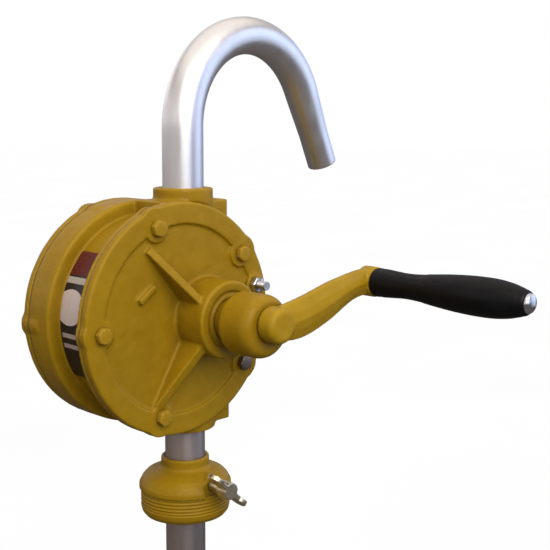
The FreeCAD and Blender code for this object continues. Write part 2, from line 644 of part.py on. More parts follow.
# ---------------------------------------------------------------- bung adapter and its clamp screw
def radial_cylinder(radius, r0, r1):
    """Cylinder on the clamp screw's axis from radius r0 to r1 of the tube."""
    a = math.radians(SCREW_ANGLE)
    direction = Vector(math.cos(a), math.sin(a), 0)
    return Part.makeCylinder(radius, r1 - r0, direction * r0 + Vector(0, 0, SCREW_Z), direction)


def bung_adapter():
    """Collar on the tube, a bell-shaped shoulder and the threaded band below it."""
    bore = TUBE_R + RUNNING
    collar_r, flange_r, notch_half = 16.1, 30.9, 8.5
    outline = [
        (bore, ADAPTER_TOP_Z), (collar_r - 0.6, ADAPTER_TOP_Z), (collar_r, ADAPTER_TOP_Z - 0.7),
        (collar_r, -104.3), (17.6, -105.8), (22.0, -107.2), (26.0, -109.2), (28.9, -112.2),
        (flange_r, -116.2), (flange_r, THREAD_TOP_Z), (BUNG_THREAD_R, THREAD_TOP_Z),
        (BUNG_THREAD_R, THREAD_BOTTOM_Z), (29.2, -134.6), (27.2, ADAPTER_BOTTOM_Z),
        (bore, ADAPTER_BOTTOM_Z),
    ]
    body = turned(outline, "Z")
    notch = box(SCREW_FACE, 1.5 * flange_r, -notch_half, notch_half, THREAD_TOP_Z, ADAPTER_TOP_Z)
    notch.rotate(Vector(0, 0, 0), Vector(0, 0, 1), SCREW_ANGLE)
    body = fused([body, radial_cylinder(SCREW_BOSS_R, collar_r - PAST, SCREW_FACE)])
    cuts = [
        notch,
        cyl_z(ADAPTER_SEAL_R, ADAPTER_SEAL_LOW_Z, ADAPTER_SEAL_HIGH_Z),
        radial_cylinder(SCREW_R + 0.05, 0, flange_r + PAST),
        cyl_z(bore, ADAPTER_BOTTOM_Z - PAST, ADAPTER_TOP_Z + PAST),
    ]
    for cut in cuts:
        body = body.cut(cut)
    return body


def adapter_seal():
    low_z, high_z = ADAPTER_SEAL_LOW_Z + 0.1, ADAPTER_SEAL_HIGH_Z - 0.1
    return ring_z(ADAPTER_SEAL_R - 0.05, TUBE_R + 0.04, low_z, high_z)


def clamp_pad():
    return radial_cylinder(SCREW_R - 0.1, TUBE_R + 0.2, PAD_END)


def thumb_screw():
    """Wing screw: threaded shank, hub and two rounded wings."""
    hub_start, hub_r, hub_end, wing_centre = 36.0, 5.6, 45.0, 41.0
    wing_t, wing_r, wing_reach, web_length = 3.2, 5.6, 14.0, 8.0
    shank = radial_cylinder(SCREW_R, PAD_END + 0.05, hub_start + PAST)
    hub = radial_cylinder(hub_r, hub_start, hub_end)
    ears = []
    for side in (-1, 1):
        centre = Vector(wing_centre, -wing_t / 2, side * wing_reach)
        ears.append(Part.makeCylinder(wing_r, wing_t, centre, Vector(0, 1, 0)))
        low_corner = Vector(wing_centre - web_length / 2, -wing_t / 2, min(0, side * wing_reach))
        ears.append(Part.makeBox(web_length, wing_t, wing_reach, low_corner))
    wings = fused(ears)
    wings.rotate(Vector(0, 0, 0), Vector(1, 0, 0), WING_TILT)
    wings.rotate(Vector(0, 0, 0), Vector(0, 0, 1), SCREW_ANGLE)
    wings.translate(Vector(0, 0, SCREW_Z))
    return fused([shank, hub, wings])


# ---------------------------------------------------------------- build
os.makedirs("parts", exist_ok=True)

save("pump_body", pump_body())
save("front_cover", front_cover())
save("rear_cover", rear_cover())
save("front_gasket", front_gasket())
save("rear_gasket", rear_gasket())
save("front_cover_bolts", bolt_group(FRONT_BOLT_ANGLES, FACE_Y, FRONT_SHANK, -1))
save("rear_cover_bolts", bolt_group(REAR_BOLT_ANGLES, REAR_FACE_Y, REAR_SHANK, 1))
save("earthing_screw", earthing_screw())
save("label_sticker", label_sticker())
save("front_bush", front_bush())
save("rear_bush", rear_bush())
save("packing_rings", packing_rings())
save("gland_nut", gland_nut())
save("rotor_shaft", rotor_shaft())
save("rotor_key", rotor_key())
save("rotor", rotor())
for number, vane_angle in enumerate(VANE_ANGLES, start=1):
    save("vane_%d" % number, vane(vane_angle))
save("crank_arm", crank_arm())
save("crank_pin", crank_pin())
save("grip_spindle", grip_spindle())
save("crank_grip", crank_grip())
save("spout", spout())
save("spout_seal", spout_seal())
save("spout_retaining_screw", spout_retaining_screw())
save("suction_tube_upper", suction_tube_upper())
save("tube_guide_bush", tube_guide_bush())
save("suction_tube_lower", suction_tube_lower())
save("tube_piston_sleeve", tube_piston_sleeve())
save("foot_strainer", foot_strainer())
save("bung_adapter", bung_adapter())
save("adapter_seal", adapter_seal())
save("clamp_pad", clamp_pad())
save("thumb_screw", thumb_screw())
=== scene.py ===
import json
import math
import bmesh
import bpy
import numpy as np
from mathutils import Matrix, Vector


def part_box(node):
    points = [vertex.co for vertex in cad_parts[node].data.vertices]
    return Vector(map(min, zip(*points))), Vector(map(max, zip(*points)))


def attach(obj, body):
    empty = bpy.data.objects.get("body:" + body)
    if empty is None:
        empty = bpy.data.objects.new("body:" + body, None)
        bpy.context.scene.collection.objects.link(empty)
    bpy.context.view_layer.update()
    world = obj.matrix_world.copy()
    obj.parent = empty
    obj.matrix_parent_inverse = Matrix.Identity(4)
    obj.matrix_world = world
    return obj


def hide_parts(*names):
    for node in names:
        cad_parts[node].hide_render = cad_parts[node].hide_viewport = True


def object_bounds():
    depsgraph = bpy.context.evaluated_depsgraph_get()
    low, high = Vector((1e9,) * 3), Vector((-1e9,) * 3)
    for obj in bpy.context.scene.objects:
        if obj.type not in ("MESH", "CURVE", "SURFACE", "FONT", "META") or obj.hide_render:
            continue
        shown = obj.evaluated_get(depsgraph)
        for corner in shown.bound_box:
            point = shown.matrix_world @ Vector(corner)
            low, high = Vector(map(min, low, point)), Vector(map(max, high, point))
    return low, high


# Looks of a hand-cranked rotary drum pump. Metres, +Z up along the suction tube.
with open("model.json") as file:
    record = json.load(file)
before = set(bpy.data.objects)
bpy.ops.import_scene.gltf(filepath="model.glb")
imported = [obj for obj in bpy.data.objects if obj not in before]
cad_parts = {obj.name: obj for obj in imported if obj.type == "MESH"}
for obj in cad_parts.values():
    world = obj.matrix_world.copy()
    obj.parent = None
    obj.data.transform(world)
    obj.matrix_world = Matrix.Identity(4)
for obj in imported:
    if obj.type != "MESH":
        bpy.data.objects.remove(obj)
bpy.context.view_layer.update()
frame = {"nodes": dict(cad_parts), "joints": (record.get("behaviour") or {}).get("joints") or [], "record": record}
nodes = frame["nodes"]
joints = {j["name"]: j for j in frame["joints"]}
mounts = {m["name"]: m for m in frame["record"]["mounts"]}
rng = np.random.default_rng(7)

MM = 0.001
UP = Vector((0, 0, 1))
OUT = Vector((0, -1, 0))          # the way the crank side faces
CENTRE = (0, 0, 0)
VIEW_YAW = math.radians(-45.57)   # camera's turn about the tube, from straight in front
WELD = 1e-6                       # corners nearer than this are one corner
WELD_FINE = 1e-7                  # the same for meshes made here
ALL_SMOOTH = 180.0                # sharp edge angle that leaves no edge sharp
NEARLY_UPRIGHT = 0.99             # an axis this much along UP can't take its first direction from UP


# ---------------------------------------------------------------- reading the frame
def read_vertices(mesh, what):
    """Every vertex's "co" or "normal" as one row."""
    values = np.empty(len(mesh.vertices) * 3, np.float32)
    mesh.vertices.foreach_get(what, values)
    return values.reshape(-1, 3).astype(float)


def points(node):
    return read_vertices(nodes[node].data, "co")


def welded(mesh, distance):
    """An edit copy of a mesh with its doubled corners joined."""
    bm = bmesh.new()
    bm.from_mesh(mesh)
    bmesh.ops.remove_doubles(bm, verts=bm.verts, dist=distance)
    return bm


def solids(node):
    """(lowest corner, highest corner) of every separate solid in a CAD node."""
    bm = welded(nodes[node].data, WELD)
    found, seen = [], set()
    for start in bm.verts:
        if start.index in seen:
            continue
        stack, group = [start], []
        seen.add(start.index)
        while stack:
            v = stack.pop()
            group.append(v.co[:])
            for e in v.link_edges:
                w = e.other_vert(v)
                if w.index not in seen:
                    seen.add(w.index)
                    stack.append(w)
        co = np.array(group)
        found.append((Vector(co.min(0)), Vector(co.max(0))))
    bm.free()
    return found


def radius_of(node, inner=False):
    """Largest or smallest distance of a node's surface from the tube's axis."""
    co = points(node)
    r = np.hypot(co[:, 0], co[:, 1])
    return float(r.min() if inner else r.max())


# ---------------------------------------------------------------- mesh code
def finish_mesh(name, mesh, body, node, materials, sharp):
    """Turns a mesh into the piece that rides on a body and stands for a CAD node."""
    obj = bpy.data.objects.new(name, mesh)
    bpy.context.scene.collection.objects.link(obj)
    for m in materials:
        mesh.materials.append(m)
    mesh.shade_smooth()
    mesh.set_sharp_from_angle(angle=math.radians(sharp))
    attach(obj, body)
    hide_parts(node)
    return obj


def mesh_from(name, verts, faces):
    mesh = bpy.data.meshes.new(name)
    mesh.from_pydata([tuple(v) for v in verts], [], [tuple(f) for f in faces])
    mesh.validate()
    bm = welded(mesh, WELD_FINE)
    bmesh.ops.recalc_face_normals(bm, faces=bm.faces)
    bm.to_mesh(mesh)
    bm.free()
    return mesh


def grid_faces(rows, cols, close_rows):
    """Faces between rows of corners, each row a closed ring."""
    faces = []
    for i in range(rows if close_rows else rows - 1):
        a, b = i * cols, ((i + 1) % rows) * cols
        for j in range(cols):
            k = (j + 1) % cols
            faces.append((a + j, a + k, b + k, b + j))
    return faces


def end_caps(rows, cols):
    """Faces that close the first and the last ring of an open grid."""
    return [tuple(range(cols)), tuple((rows - 1) * cols + j for j in range(cols))]


class Axis:
    """A line to turn shapes about, with two directions across it."""

    def __init__(self, origin, direction):
        self.origin = Vector(origin)
        self.along = Vector(direction).normalized()
        self.u = self.along.orthogonal().normalized()
        if abs(self.along.dot(UP)) < NEARLY_UPRIGHT:
            self.u = (UP - self.along * self.along.dot(UP)).normalized()
        self.w = self.along.cross(self.u)

    def at(self, angle, radius, height):
        across = self.u * math.cos(angle) + self.w * math.sin(angle)
        return self.origin + self.along * height + across * radius


def turns(count):
    return [2 * math.pi * j / count for j in range(count)]


def lathe(profile, origin, direction, segments):
    """Turns a closed outline of (radius, height) points about an axis."""
    axis = Axis(origin, direction)
    verts = [axis.at(a, r, h) for r, h in profile for a in turns(segments)]
    return verts, grid_faces(len(profile), segments, True)


def rounded(profile, radius):
    """The same closed outline with each corner cut by a small arc."""
    steps, longest_cut, nearly_straight = 3, 0.45, 0.985
    out, count = [], len(profile)
    for i in range(count):
        p = Vector(profile[i])
        da = Vector(profile[i - 1]) - p
        db = Vector(profile[(i + 1) % count]) - p
        cut = min(radius, da.length * longest_cut, db.length * longest_cut)
        if abs(da.normalized().dot(db.normalized())) > nearly_straight:
            out.append((p.x, p.y))
            continue
        s, e = p + da.normalized() * cut, p + db.normalized() * cut
        for k in range(steps + 1):
            t = k / steps
            q = s * (1 - t) ** 2 + p * 2 * t * (1 - t) + e * t * t
            out.append((q.x, q.y))
    return out


def helix(r_major, depth, pitch, span, origin, direction, segments, per_pitch, r_inner=None):
    """A threaded rod between the heights in span, or a threaded sleeve when r_inner is given."""
    crest, slope = 0.12, 0.76         # shares of half a pitch
    run_out, run_out_level = 1.5, 0.75
    h0, h1 = span
    axis = Axis(origin, direction)
    rows = max(8, int((h1 - h0) / pitch * per_pitch))
    verts = []
    for i in range(rows + 1):
        h = h0 + (h1 - h0) * i / rows
        fade = min(1.0, (h - h0) / pitch * run_out, (h1 - h) / pitch * run_out)
        for a in turns(segments):
            phase = (h / pitch - a / (2 * math.pi)) % 1.0
            tooth = abs(phase * 2 - 1)
            tooth = min(1.0, max(0.0, (tooth - crest) / slope))
            verts.append(axis.at(a, r_major - depth * (tooth * fade + (1 - fade) * run_out_level), h))
    if r_inner is None:
        return verts, grid_faces(rows + 1, segments, False) + end_caps(rows + 1, segments)
    verts += [axis.at(a, r_inner, h) for h in (h1, h0) for a in turns(segments)]
    return verts, grid_faces(rows + 3, segments, True)


def add(a, b):
    """Two (verts, faces) pairs as one."""
    shift = len(a[0])
    return a[0] + b[0], a[1] + [tuple(i + shift for i in f) for f in b[1]]


def hex_head(place, seat, height, flats, direction, turn, dome=0.15, soft=0.0):
    """Hexagon head with a washer face, a chamfer and a slight dome. Paint makes its corners soft."""
    sides = 48
    washer = 0.93
    # each ring: share of the full radius, share of the height, how round it is
    rings = [(washer, 0.0, 1.0), (washer, 0.10, 1.0), (1.0, 0.12, soft), (1.0, 0.80, soft),
             (0.97, 0.90, 0.25 + soft / 2), (0.88, 1.0, 0.9),
             (0.45, 1.0 + dome * 0.25, 1.0), (0.02, 1.0 + dome * 0.3, 1.0)]
    axis = Axis(place, direction)
    verts = []
    for scale, level, roundness in rings:
        for a in turns(sides):
            from_flat = (math.degrees(a) % 60.0) - 30.0
            hexagon = flats / 2 / math.cos(math.radians(from_flat))
            r = (hexagon * (1 - roundness) + flats / 2 * roundness) * scale
            verts.append(axis.at(a + turn, r, seat + height * level))
    return verts, grid_faces(len(rings), sides, False) + end_caps(len(rings), sides)


def noise_field(co, wave, seed):
    """Cheap smooth noise from a few random waves, about -1 to 1."""
    waves, level = 14, 6.0
    g = np.random.default_rng(seed)
    out = np.zeros(len(co))
    for _ in range(waves):
        k = g.normal(size=3)
        k = k / np.linalg.norm(k) * (2 * math.pi / wave) * g.uniform(0.6, 1.6)
        out += np.sin(co @ k + g.uniform(0, 6.28))
    return out / level


def casting(name, node, body, material, voxel, passes, lump=0.12, shape=None):
    """A CAD casting with its corners softened as sand and thick paint leave them.

    voxel is the mesh's grain and lump its unevenness, both in mm. passes is how often it is smoothed.
    """
    mesh = nodes[node].data.copy()
    mesh.materials.clear()
    bm = welded(mesh, WELD)
    bm.to_mesh(mesh)
    bm.free()
    temp = bpy.data.objects.new(name + ".raw", mesh)
    bpy.context.scene.collection.objects.link(temp)
    skin = temp.modifiers.new("skin", "REMESH")
    skin.mode = "VOXEL"
    skin.voxel_size = voxel * MM
    soft = temp.modifiers.new("soft", "SMOOTH")
    soft.factor = 0.5
    soft.iterations = passes
    graph = bpy.context.evaluated_depsgraph_get()
    baked = bpy.data.meshes.new_from_object(temp.evaluated_get(graph))
    bpy.data.objects.remove(temp)
    baked.name = name
    co, normal = read_vertices(baked, "co"), read_vertices(baked, "normal")
    bump = noise_field(co, 22 * MM, 3) * 0.6 + noise_field(co, 7 * MM, 5) * 0.4
    co += normal * (bump * lump * MM)[:, None]
    if shape is not None:
        co = shape(co)
    baked.vertices.foreach_set("co", co.astype(np.float32).ravel())
    baked.update()
    baked.materials.clear()
    finish_mesh(name, baked, body, node, [material], ALL_SMOOTH)


# ---------------------------------------------------------------- materials
class Nodes:
    """Short hand for building one node tree, a material's or the world's."""

    def __init__(self, tree):
        self.tree = tree

    def new(self, kind, **settings):
        node = self.tree.nodes.new(kind)
        for key, value in settings.items():
            setattr(node, key, value)
        return node

    def link(self, source, socket):
        self.tree.links.new(source, socket)

    def feed(self, socket, value):
        """Links an output, or sets a number or a colour."""
        if isinstance(value, (int, float)):
            socket.default_value = value
        elif isinstance(value, tuple):
            socket.default_value = (*value, 1.0)
        else:
            self.link(value, socket)

    def ramp(self, source, low, high, a=0.0, b=1.0):
        """Stretches low to high into a to b, and holds it there."""
        node = self.new("ShaderNodeMapRange")
        for socket, value in zip(("From Min", "From Max", "To Min", "To Max"), (low, high, a, b)):
            node.inputs[socket].default_value = value
        self.link(source, node.inputs["Value"])
        return node.outputs["Result"]

    def math(self, kind, a, b=0.0):
        node = self.new("ShaderNodeMath", operation=kind)
        self.feed(node.inputs[0], a)
        self.feed(node.inputs[1], b)
        return node.outputs["Value"]

    def mix(self, factor, a, b):
        node = self.new("ShaderNodeMix", data_type="RGBA")
        for socket, value in ((0, factor), (6, a), (7, b)):
            self.feed(node.inputs[socket], value)
        return node.outputs[2]

    def swap_for_camera(self, others_see, camera_sees, output):
        """One shader for the camera's own rays and another for all the rest."""
        node = self.new("ShaderNodeMixShader")
        self.link(self.new("ShaderNodeLightPath").outputs["Is Camera Ray"], node.inputs["Fac"])
        self.link(others_see, node.inputs[1])
        self.link(camera_sees, node.inputs[2])
        self.link(node.outputs["Shader"], self.tree.nodes[output].inputs["Surface"])


class Surface(Nodes):
    """A material around one Principled BSDF, patterned in the object's own space."""

    def __init__(self, name):
        self.material = bpy.data.materials.new(name)
        self.material.use_nodes = True
        super().__init__(self.material.node_tree)
        self.bsdf = self.tree.nodes["Principled BSDF"]
        self.place = self.new("ShaderNodeTexCoord").outputs["Object"]

    def set(self, **values):
        """Principled inputs by name, with _ for a space."""
        for name, value in values.items():
            self.feed(self.bsdf.inputs[name.replace("_", " ")], value)

    def noise(self, scale, detail=4.0, rough=0.55, stretch=None):
        node = self.new("ShaderNodeTexNoise")
        for socket, value in (("Scale", scale), ("Detail", detail), ("Roughness", rough)):
            node.inputs[socket].default_value = value
        source = self.place
        if stretch:
            mapping = self.new("ShaderNodeMapping")
            mapping.inputs["Scale"].default_value = stretch
            self.link(self.place, mapping.inputs["Vector"])
            source = mapping.outputs["Vector"]
        self.link(source, node.inputs["Vector"])
        return node.outputs["Fac"]

    def over(self, colour, other, mask, amount):
        """Lays another colour over a colour, where the mask says and by no more than amount."""
        return self.mix(self.math("MULTIPLY", mask, amount), colour, other)

    def bump(self, heights):
        """heights is a list of (texture, strength, distance in mm)."""
        last = None
        for source, strength, distance in heights:
            node = self.new("ShaderNodeBump")
            node.inputs["Strength"].default_value = strength
            node.inputs["Distance"].default_value = distance * MM
            self.link(source, node.inputs["Height"])
            if last is not None:
                self.link(last, node.inputs["Normal"])
            last = node.outputs["Normal"]
        self.link(last, self.bsdf.inputs["Normal"])

    def hollows(self, distance, low, high):
        """1 deep in a recess, 0 on open surfaces."""
        node = self.new("ShaderNodeAmbientOcclusion", samples=8)
        node.inputs["Distance"].default_value = distance * MM
        return self.ramp(node.outputs["AO"], low, high, 1.0, 0.0)

    def edges(self, low, high):
        """1 on outer edges, 0 on flat surfaces."""
        return self.ramp(self.new("ShaderNodeNewGeometry").outputs["Pointiness"], low, high)


# The first colour darkens the enamel in its hollows, as grime and as painted shade.
PAINT_GRIME_AND_SHADE = (0.072, 0.040, 0.006)
PAINT_SPECK = (0.10, 0.06, 0.012)
PAINT_CHIP = (0.16, 0.13, 0.10)
# This colour darkens metal hollows, as dirt and as painted shade.
METAL_DIRT_AND_SHADE = (0.05, 0.042, 0.035)


def cast_paint(name, base, deep, pale, rough=0.42, wear=0.5):
    """Thick enamel on a rough casting: drifting tone, edges paler as rubbed paint and painted highlight, grime and
    painted shade in hollows, specks and chips.
    """
    s = Surface(name)
    colour = s.over(base, deep, s.ramp(s.noise(14.0, 3.0), 0.32, 0.68), 0.55)
    colour = s.over(colour, pale, s.ramp(s.noise(95.0, 5.0), 0.35, 0.65), 0.22)
    # Edges paler from pointiness: partly rubbed paint, partly painted highlight.
    colour = s.over(colour, pale, s.edges(0.515, 0.56), 0.45)
    # Dark brown in hollows and under overhangs, from ambient occlusion: patchy grime and painted shade.
    patchy = s.ramp(s.noise(60.0, 6.0), 0.25, 0.7, 0.45, 1.0)
    grime_and_shade = s.math("MULTIPLY", s.hollows(16, 0.25, 0.85), patchy)
    colour = s.over(colour, PAINT_GRIME_AND_SHADE, grime_and_shade, 0.62)
    colour = s.over(colour, PAINT_SPECK, s.ramp(s.noise(420.0, 2.0), 0.70, 0.76), 0.35)
    spots = s.ramp(s.noise(150.0, 4.0, 0.7), 0.60, 0.64)
    colour = s.over(colour, PAINT_CHIP, s.math("MULTIPLY", spots, s.edges(0.54, 0.57)), wear)
    s.set(Base_Color=colour, Roughness=s.ramp(s.noise(130.0, 4.0), 0.3, 0.7, rough - 0.08, rough + 0.12))
    s.set(Specular_IOR_Level=0.22, Specular_Tint=(1.0, 0.86, 0.55))
    s.set(Coat_Weight=0.06, Coat_Roughness=0.30)
    s.bump([(s.noise(120.0, 3.0), 0.35, 1.1), (s.noise(520.0, 3.0), 0.30, 0.4),
            (s.noise(1500.0, 2.0), 0.18, 0.2)])
    return s.material


def metal(name, base, tint, rough, streak=None, grain=0.10, spread=0.10, dirt_and_shade=0.35):
    """Metal with patches of another tone, fine lines, specks, and dirt with painted shade darkening its hollows.
    """
    s = Surface(name)
    patch = s.ramp(s.noise(28.0, 4.0), 0.3, 0.7)
    lines = s.ramp(s.noise(160.0, 4.0, 0.6, streak), 0.3, 0.7)
    colour = s.over(base, tint, patch, 0.7)
    # Hollows darkened by ambient occlusion: dirt and painted shade.
    colour = s.over(colour, METAL_DIRT_AND_SHADE, s.hollows(8, 0.3, 0.9), dirt_and_shade)
    darker = tuple(0.5 * c for c in tint)
    colour = s.over(colour, darker, s.ramp(s.noise(340.0, 3.0), 0.68, 0.75), 0.25)
    by_patch = s.ramp(patch, 0.0, 1.0, rough - spread / 2, rough + spread / 2)
    by_line = s.ramp(lines, 0.0, 1.0, -0.04, 0.06)
    s.set(Base_Color=colour, Metallic=1.0, Roughness=s.math("ADD", by_patch, by_line))
    s.bump([(lines, grain, 0.2), (s.noise(900.0, 3.0), grain, 0.12)])
    return s.material


def dull(name, base, other, rough, scale=200.0, bump=0.2):
    """Rubber, packing, sheet and plastic, with a little dust."""
    s = Surface(name)
    colour = s.mix(s.ramp(s.noise(scale, 5.0), 0.35, 0.65), base, other)
    dust = tuple(min(1.0, c + 0.10) for c in other)
    colour = s.over(colour, dust, s.ramp(s.noise(35.0, 6.0, 0.65), 0.45, 0.75), 0.15)
    s.set(Base_Color=colour)
    s.set(Roughness=s.ramp(s.noise(scale * 0.6, 4.0), 0.3, 0.7, rough - 0.07, rough + 0.08))
    s.bump([(s.noise(scale * 4, 3.0), bump, 0.2), (s.noise(scale * 0.5, 3.0), bump, 0.4)])
    return s.material


def grip_material():
    """Satin moulded plastic with fine scuffs."""
    s = Surface("moulded_grip")
    scuff = s.ramp(s.noise(70.0, 6.0, 0.7, (1, 0.25, 1)), 0.52, 0.72)
    s.set(Base_Color=s.over((0.005, 0.005, 0.006), (0.018, 0.017, 0.017), scuff, 0.35))
    s.set(Roughness=s.ramp(s.noise(110.0, 5.0), 0.3, 0.7, 0.34, 0.48))
    s.set(Specular_IOR_Level=0.14, Coat_Weight=0.03, Coat_Roughness=0.20)
    s.bump([(s.noise(900.0, 3.0), 0.10, 0.2), (s.noise(60.0, 3.0), 0.15, 0.8)])
    return s.material


# Each finish: colour, second colour, roughness. Streaks run along the axis with the small number.
ALONG_TUBE, ALONG_SHAFT = (1, 1, 0.05), (1, 0.1, 1)
paint = cast_paint("enamel_on_casting", (0.335, 0.193, 0.0042), (0.245, 0.136, 0.0035),
                   (0.44, 0.27, 0.016))
paint_crank = cast_paint("enamel_on_crank", (0.40, 0.240, 0.0065), (0.31, 0.178, 0.005),
                         (0.50, 0.33, 0.03), rough=0.36, wear=0.7)
paint_bolts = cast_paint("enamel_on_bolts", (0.35, 0.205, 0.006), (0.25, 0.135, 0.005),
                         (0.44, 0.27, 0.03), rough=0.40, wear=0.9)
aluminium = metal("satin_aluminium", (0.94, 0.93, 0.94), (0.86, 0.86, 0.88), 0.36,
                  streak=(1, 1, 0.08), grain=0.04, spread=0.08, dirt_and_shade=0.15)
tube_steel = metal("dull_tube", (0.53, 0.45, 0.41), (0.42, 0.355, 0.33), 0.44,
                   streak=ALONG_TUBE, spread=0.12, dirt_and_shade=0.4)
inner_tube = metal("inner_tube", (0.62, 0.60, 0.60), (0.48, 0.46, 0.46), 0.30,
                   streak=ALONG_TUBE, grain=0.08)
machined = metal("machined_steel", (0.56, 0.55, 0.54), (0.45, 0.44, 0.44), 0.30, streak=ALONG_SHAFT)
zinc = metal("bright_zinc", (0.70, 0.71, 0.74), (0.55, 0.55, 0.60), 0.26,
             grain=0.12, spread=0.12, dirt_and_shade=0.5)
bare_bolt = metal("bare_bolt", (0.30, 0.25, 0.21), (0.20, 0.15, 0.12), 0.42,
                  grain=0.2, spread=0.15, dirt_and_shade=0.5)
bronze = metal("bronze", (0.62, 0.42, 0.22), (0.50, 0.32, 0.16), 0.32, streak=ALONG_SHAFT)
brass = metal("clamp_screw_metal", (0.86, 0.78, 0.56), (0.62, 0.54, 0.36), 0.36,
              grain=0.18, spread=0.16, dirt_and_shade=0.4)
iron = metal("cast_rotor", (0.24, 0.235, 0.23), (0.17, 0.165, 0.16), 0.48,
             grain=0.3, spread=0.15, dirt_and_shade=0.5)
carbon = dull("carbon_vane", (0.030, 0.030, 0.033), (0.05, 0.05, 0.052), 0.42, scale=260.0)
rubber = dull("seal_rubber", (0.018, 0.018, 0.019), (0.032, 0.031, 0.030), 0.55, scale=240.0)
packing = dull("packing_rope", (0.30, 0.27, 0.20), (0.20, 0.17, 0.12), 0.7, scale=500.0, bump=0.5)
gasket = dull("gasket_edge", (0.27, 0.165, 0.020), (0.19, 0.115, 0.015), 0.7, scale=320.0, bump=0.3)
plastic = dull("foot_plastic", (0.035, 0.035, 0.037), (0.055, 0.054, 0.052), 0.45, scale=180.0)


# ---------------------------------------------------------------- castings
casting("body_casting", "pump_body", "pump", paint, voxel=0.85, passes=7)
casting("front_cover_casting", "front_cover", "pump", paint, voxel=0.75, passes=6)
casting("rear_cover_casting", "rear_cover", "pump", paint, voxel=0.85, passes=7)
casting("gland_casting", "gland_nut", "pump", paint, voxel=0.6, passes=5, lump=0.06)
casting("crank_casting", "crank_arm", "crank", paint_crank,
        voxel=0.6, passes=5, lump=0.10)

BUNG_PITCH, BUNG_DEPTH = 2.309 * MM, 0.50 * MM
BUNG_CUT = 1.6 * MM               # how far the casting is sunk under the thread
BUNG_SLEEVE = 2.4 * MM            # thickness of the threaded sleeve
bung = mounts["bung_thread"]
bung_r = bung["dims"]["r_mm"] * MM
bung_half = bung["dims"]["length_mm"] * MM / 2
bung_z = bung["pos_m"][2]


def cut_thread_away(co):
    """Sinks the adapter's lower band so that the threaded sleeve stands proud of it."""
    end_gap, skin = 0.3 * MM, 1.2 * MM
    r = np.hypot(co[:, 0], co[:, 1])
    inside = (np.abs(co[:, 2] - bung_z) < bung_half - end_gap) & (r > bung_r - skin)
    co[inside, :2] *= ((bung_r - BUNG_CUT) / r[inside])[:, None]
    return co


def adapter_thread():
    end_gap = 0.1 * MM
    span = (bung_z - bung_half + end_gap, bung_z + bung_half - end_gap)
    shape = helix(bung_r, BUNG_DEPTH, BUNG_PITCH, span, CENTRE, UP, 144, 10, bung_r - BUNG_SLEEVE)
    mesh = mesh_from("adapter_thread", *shape)
    finish_mesh("adapter_thread", mesh, "adapter", "bung_adapter", [paint], ALL_SMOOTH)


casting("adapter_casting", "bung_adapter", "adapter", paint,
        voxel=0.6, passes=5, lump=0.10, shape=cut_thread_away)
adapter_thread()


# ---------------------------------------------------------------- cover bolts and bonding stud
BOLT_FLATS, BOLT_HEAD_H, BOLT_R = 9.6 * MM, 4.2 * MM, 3.0 * MM
BOLT_SOFT = 0.40                  # how far paint rounds a head's corners, 0 to 1
BOLT_EDGE = 0.3 * MM
NUT_H, NUT_TURN = 4.4 * MM, 0.35
STUD_PITCH, STUD_DEPTH = 1.0 * MM, 0.3 * MM
CUT_IN = 0.1 * MM                 # how far meshes of one piece run into each other


def bolt_set(name, node, direction, materials):
    """Hex heads on their shanks, each turned by chance."""
    sign = direction.y
    shape = ([], [])
    for low, high in sorted(solids(node), key=lambda b: -(b[0] + b[1]).x):
        middle = (low + high) / 2
        place = (middle.x, 0, middle.z)
        tail, top = sorted((low.y * sign, high.y * sign))
        seat = top - BOLT_HEAD_H
        turn = rng.uniform(0, 1.0)
        head = hex_head(place, seat, BOLT_HEAD_H, BOLT_FLATS, direction, turn, soft=BOLT_SOFT)
        outline = [(BOLT_R, seat + CUT_IN), (BOLT_R, tail), (CUT_IN, tail), (CUT_IN, seat + CUT_IN)]
        shank = lathe(rounded(outline, BOLT_EDGE), place, direction, 24)
        shape = add(add(shape, head), shank)
    return finish_mesh(name, mesh_from(name, *shape), "pump", node, materials, 28.0)


def bare_one_bolt(bolts, node):
    """The lowest bolt on the spout's side lost its paint."""
    low, high = min(solids(node), key=lambda b: b[0].z - b[0].x)
    middle = (low + high) / 2
    for poly in bolts.data.polygons:
        if math.hypot(poly.center.x - middle.x, poly.center.z - middle.z) < BOLT_FLATS:
            poly.material_index = 1


def bonding_stud():
    """Threaded stud and its nut."""
    stud = mounts["earthing_stud"]
    x, y, z = stud["pos_m"]
    low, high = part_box("earthing_screw")
    radius = stud["dims"]["r_mm"] * MM
    nut_top = -y - stud["dims"]["length_mm"] * MM / 2
    rod = helix(radius, STUD_DEPTH, STUD_PITCH, (-high.y, -low.y), (x, 0, z), OUT, 40, 9)
    nut = hex_head((x, 0, z), nut_top - NUT_H - CUT_IN, NUT_H, BOLT_FLATS, OUT, NUT_TURN, dome=0.0)
    mesh = mesh_from("bonding_stud", *add(rod, nut))
    finish_mesh("bonding_stud", mesh, "pump", "earthing_screw", [zinc], 30.0)


front_bolts = bolt_set("front_cover_bolt_set", "front_cover_bolts", OUT, [paint_bolts, bare_bolt])
bare_one_bolt(front_bolts, "front_cover_bolts")
bolt_set("rear_cover_bolt_set", "rear_cover_bolts", -OUT, [paint_bolts])
bonding_stud()


# ---------------------------------------------------------------- sticker
# Across (u) and along (v) the sticker, both from 0 to 1.
MAROON_FROM = 0.80
PALE_STRIP = (0.735, 0.785)
BARS_FROM, BAR_H, BARS_ACROSS = (0.245, 0.325), 0.035, (0.28, 0.92)
DISC_AT, DISC_R = (0.62, 0.555), 10.6 * MM
STICKER_SIZE = (18.3 * MM, 78.5 * MM)
STICKER_THICK, STICKER_PROUD = 0.30 * MM, 0.04 * MM


